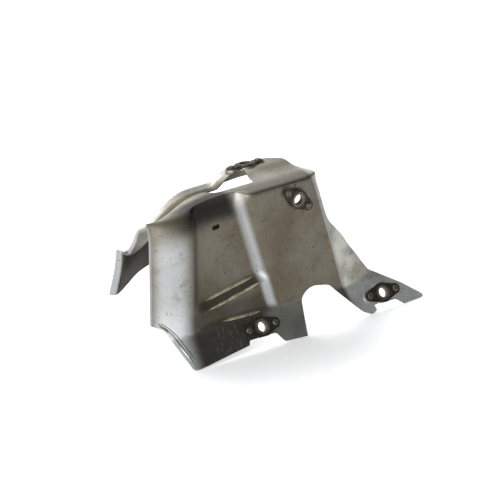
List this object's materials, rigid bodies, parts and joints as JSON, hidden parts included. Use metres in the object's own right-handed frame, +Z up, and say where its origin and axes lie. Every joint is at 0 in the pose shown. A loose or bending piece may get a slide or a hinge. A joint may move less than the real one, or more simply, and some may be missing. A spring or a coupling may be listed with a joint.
{
  "type": "heat shield",
  "caption": "Pressed metal heat shield: arched shell with a window in the crown, a flared foot and riveted mounting plates with bolt bushes.",
  "frame": {"origin": "centre of the upper bolt hole, on the face that its mounting plate sits on", "axes": "+X along the front wall towards the foot, +Y from the front wall towards the rear wall, +Z up"},
  "size_m": [0.325, 0.106, 0.172],
  "materials": {
    "shield_metal": "dull rolled sheet with light stains",
    "plate_steel": "dark oxidised steel",
    "bush_steel": "dark oxidised steel",
    "rivet_steel": "dark oxidised steel"
  },
  "bodies": {
    "root": {"shield_sheet": "shield_metal", "plate_rivets": "rivet_steel", "upper_mount_plate": "plate_steel", "upper_mount_bush": "bush_steel", "lower_mount_plate": "plate_steel", "lower_mount_bush": "bush_steel", "tail_mount_plate": "plate_steel", "tail_mount_bush": "bush_steel", "rear_mount_plate": "plate_steel", "rear_mount_bush": "bush_steel"}
  },
  "joints": []
}
